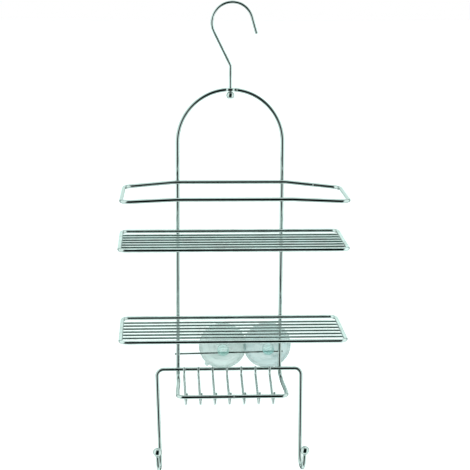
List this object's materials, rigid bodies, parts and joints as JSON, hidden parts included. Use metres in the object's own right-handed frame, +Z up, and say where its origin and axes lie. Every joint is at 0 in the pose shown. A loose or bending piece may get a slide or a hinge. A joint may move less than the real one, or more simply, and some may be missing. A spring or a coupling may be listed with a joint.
{
  "type": "shower caddy",
  "caption": "Hanging chrome wire shower caddy with a swivelling rail hook, bottle rail, shelves, soap dish, side hooks and clear suction cups.",
  "frame": {"origin": "where the swivel axis meets the rail hook's inner surface, which rests on the shower arm", "axes": "+Z up along the swivel axis, +Y towards the wall behind the caddy, +X to the user's right"},
  "size_m": [0.3, 0.1519, 0.6514],
  "materials": {
    "heavy_chrome": "polished plate on 5 mm wire",
    "fine_chrome": "polished plate on 3 mm wire",
    "hook_chrome": "polished plate on 4 mm wire",
    "ball_chrome": "polished plate on a turned ball",
    "clear_pvc": "soft clear moulding, faintly green"
  },
  "bodies": {
    "hook": {"hanging_hook": "hook_chrome"},
    "swivel": {"swivel_ball": "ball_chrome"},
    "caddy": {"main_frame": "heavy_chrome", "bottle_rail": "heavy_chrome", "upper_shelf_rim": "heavy_chrome", "upper_shelf_wire_1": "fine_chrome", "upper_shelf_wire_2": "fine_chrome", "upper_shelf_wire_3": "fine_chrome", "upper_shelf_wire_4": "fine_chrome", "upper_shelf_wire_5": "fine_chrome", "upper_shelf_wire_6": "fine_chrome", "lower_shelf_rim": "heavy_chrome", "lower_shelf_wire_1": "fine_chrome", "lower_shelf_wire_2": "fine_chrome", "lower_shelf_wire_3": "fine_chrome", "lower_shelf_wire_4": "fine_chrome", "lower_shelf_wire_5": "fine_chrome", "lower_shelf_wire_6": "fine_chrome", "cup_wire": "fine_chrome", "side_hook_wire": "heavy_chrome", "side_hook_ball_left": "ball_chrome", "side_hook_ball_right": "ball_chrome", "soap_dish_wire_1": "fine_chrome", "soap_dish_wire_2": "fine_chrome", "soap_dish_wire_3": "fine_chrome", "soap_dish_wire_4": "fine_chrome", "soap_dish_wire_5": "fine_chrome", "soap_dish_wire_6": "fine_chrome", "soap_dish_wire_7": "fine_chrome"},
    "cup_left": {"suction_cup_left": "clear_pvc"},
    "cup_right": {"suction_cup_right": "clear_pvc"}
  },
  "joints": [
    {"name": "hook_swivel", "type": "hinge", "parent": "hook", "child": "swivel", "pos_m": [0, 0, -0.1215], "axis": [0, 0, 1], "continuous": true},
    {"name": "frame_lift", "type": "slide", "parent": "swivel", "child": "caddy", "axis": [0, 0, 1], "range_m": [0, 0.027]},
    {"name": "left_cup_slide", "type": "slide", "parent": "caddy", "child": "cup_left", "axis": [0.9999, 0, 0.0172], "range_m": [-0.052, 0]},
    {"name": "right_cup_slide", "type": "slide", "parent": "caddy", "child": "cup_right", "axis": [0.9999, 0, 0.0172], "range_m": [0, 0.005]}
  ]
}
